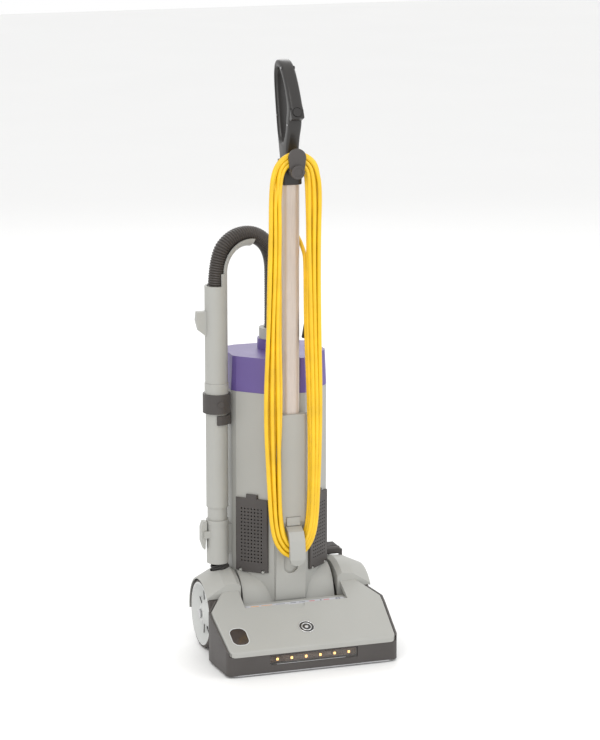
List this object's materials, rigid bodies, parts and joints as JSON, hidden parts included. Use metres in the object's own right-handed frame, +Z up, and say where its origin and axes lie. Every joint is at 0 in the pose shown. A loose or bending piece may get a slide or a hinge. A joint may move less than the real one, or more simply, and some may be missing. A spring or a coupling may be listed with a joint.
{
  "type": "upright vacuum cleaner",
  "caption": "Upright vacuum cleaner with a powered floor head, reclining body, parked wand and hose, side filter doors and a wrapped power cord.",
  "frame": {"origin": "on the floor, under the middle of the cleaner's box measured without the cord", "axes": "+Z up, the front of the floor head faces -Y, the wand is on the -X side"},
  "size_m": [0.354, 0.31, 1.143],
  "materials": {
    "body_gray": "fine moulded texture, satin",
    "dark_gray": "satin moulded",
    "black_gloss": "glossy moulded",
    "purple": "satin moulded",
    "mast_metal": "powder coat, pale warm silver",
    "steel": "brushed",
    "rubber": "matt",
    "tyre": "matt",
    "wheel_gray": "satin moulded",
    "hose_black": "satin corrugated",
    "cord_yellow": "satin jacket",
    "lens": "clear moulded",
    "smoke_window": "smoked clear",
    "circuit": "white board with warm diodes",
    "bristle": "stiff tufts",
    "copper": "varnished winding and core",
    "filter_paper": "pleated paper",
    "bag_paper": "soft paper, lightly creased",
    "belt_rubber": "matt ribbed"
  },
  "bodies": {
    "head": {"base_housing": "dark_gray", "top_cover": "body_gray", "soleplate": "steel", "badge": "black_gloss", "indicator_window": "smoke_window", "led_lens": "lens", "led_strip": "circuit", "wheel_fenders": "body_gray", "axle_pins": "steel", "cover_screws": "steel", "brush_bearings": "dark_gray", "drive_belt": "belt_rubber", "brush_motor": "steel", "suction_duct": "dark_gray", "neck_hose": "rubber", "pedal_bracket": "dark_gray"},
    "brush_roll": {"brush_core": "dark_gray", "brush_bristles": "bristle"},
    "motor_pulley": {"motor_pulley": "steel"},
    "left_wheel": {"left_wheel": "wheel_gray", "left_tyre": "tyre"},
    "right_wheel": {"right_wheel": "wheel_gray", "right_tyre": "tyre"},
    "front_rollers": {"front_rollers": "dark_gray"},
    "pedal": {"release_pedal": "dark_gray"},
    "upright": {"lower_drum": "body_gray", "front_shell": "body_gray", "rear_shell": "body_gray", "spine_cover": "body_gray", "mast_tube": "mast_metal", "handle_left": "black_gloss", "handle_right": "black_gloss", "switch_bezel": "black_gloss", "lower_cord_hook": "body_gray", "motor_housing": "dark_gray", "motor_stator": "copper", "filters": "filter_paper", "filter_bag": "bag_paper", "bag_dock": "dark_gray", "wand_socket": "body_gray", "wand_clip": "dark_gray", "strain_relief": "rubber", "cord_lead": "cord_yellow", "cord_hank": "cord_yellow", "cord_tail": "cord_yellow", "plug": "black_gloss"},
    "rocker": {"power_rocker": "black_gloss"},
    "upper_hook": {"upper_cord_hook": "dark_gray"},
    "hook_button": {"hook_button": "body_gray"},
    "fan": {"motor_rotor": "steel"},
    "left_door": {"left_filter_door": "dark_gray"},
    "right_door": {"right_filter_door": "dark_gray"},
    "lid": {"lid": "purple"},
    "cuff": {"hose_cuff": "body_gray"},
    "wand_lower": {"wand_tube": "body_gray", "telescope_collar": "dark_gray", "hose": "hose_black"},
    "wand_upper": {"wand_handle": "body_gray"},
    "telescope_button": {"telescope_button": "dark_gray"},
    "wand_latch": {"wand_latch": "body_gray"}
  },
  "joints": [
    {"name": "recline", "type": "hinge", "parent": "head", "child": "upright", "pos_m": [0, 0.05, 0.067], "axis": [-1, 0, 0], "range_deg": [0, 65], "deforming": ["neck_hose"]},
    {"name": "left_wheel_spin", "type": "hinge", "parent": "head", "child": "left_wheel", "pos_m": [-0.15, 0.05, 0.067], "axis": [1, 0, 0], "continuous": true},
    {"name": "right_wheel_spin", "type": "hinge", "parent": "head", "child": "right_wheel", "pos_m": [0.15, 0.05, 0.067], "axis": [1, 0, 0], "continuous": true},
    {"name": "roller_spin", "type": "hinge", "parent": "head", "child": "front_rollers", "pos_m": [0, -0.081, 0.009], "axis": [1, 0, 0], "continuous": true},
    {"name": "brush_spin", "type": "hinge", "parent": "head", "child": "brush_roll", "pos_m": [0, -0.112, 0.026], "axis": [1, 0, 0], "continuous": true},
    {"name": "brush_motor_spin", "type": "hinge", "parent": "head", "child": "motor_pulley", "pos_m": [0.1, -0.0565, 0.031], "axis": [1, 0, 0], "continuous": true},
    {"name": "pedal_press", "type": "hinge", "parent": "head", "child": "pedal", "pos_m": [0.118, 0.084, 0.158], "axis": [-1, 0, 0], "range_deg": [0, 14], "stiffness_Nm_per_rad": 1.2, "springref_deg": -8.59},
    {"name": "rocker_tilt", "type": "hinge", "parent": "upright", "child": "rocker", "pos_m": [0, -0.05128, 1.05473], "axis": [1, 0, 0], "range_deg": [0, 12]},
    {"name": "hook_turn", "type": "hinge", "parent": "upright", "child": "upper_hook", "pos_m": [0, -0.04, 0.944], "axis": [0, 1, 0], "range_deg": [0, 180]},
    {"name": "hook_button_press", "type": "slide", "parent": "upright", "child": "hook_button", "axis": [0, 1, 0], "range_m": [0, 0.003], "stiffness_N_per_m": 250, "springref_m": -0.002},
    {"name": "fan_spin", "type": "hinge", "parent": "upright", "child": "fan", "pos_m": [0, 0.076, 0.2], "axis": [0, 0, 1], "continuous": true},
    {"name": "left_door_open", "type": "hinge", "parent": "upright", "child": "left_door", "pos_m": [-0.06751, 0.02277, 0.152], "axis": [0.7426, -0.6698, 0], "range_deg": [0, 60]},
    {"name": "right_door_open", "type": "hinge", "parent": "upright", "child": "right_door", "pos_m": [0.06751, 0.02277, 0.152], "axis": [0.7426, 0.6698, 0], "range_deg": [0, 60]},
    {"name": "lid_lift", "type": "slide", "parent": "upright", "child": "lid", "axis": [0, 0, 1], "range_m": [0, 0.04], "deforming": ["hose"]},
    {"name": "cuff_swivel", "type": "hinge", "parent": "lid", "child": "cuff", "pos_m": [0, 0.1, 0.607], "axis": [0, 0, 1], "continuous": true},
    {"name": "wand_lift", "type": "slide", "parent": "upright", "child": "wand_lower", "axis": [0, 0, 1], "range_m": [0, 0.07], "deforming": ["hose"]},
    {"name": "telescope", "type": "slide", "parent": "wand_lower", "child": "wand_upper", "axis": [0, 0, 1], "range_m": [0, 0.19], "deforming": ["hose"]},
    {"name": "telescope_button_press", "type": "slide", "parent": "wand_lower", "child": "telescope_button", "axis": [0, 1, 0], "range_m": [0, 0.0015], "stiffness_N_per_m": 200, "springref_m": -0.001},
    {"name": "wand_latch_press", "type": "hinge", "parent": "upright", "child": "wand_latch", "pos_m": [-0.1534, 0.057, 0.226], "axis": [0, -1, 0], "range_deg": [0, 6], "stiffness_Nm_per_rad": 0.6, "springref_deg": -5.73}
  ],
  "couplings": [
    {"joint": "brush_motor_spin", "follows": "brush_spin", "ratio": 1.5714}
  ]
}
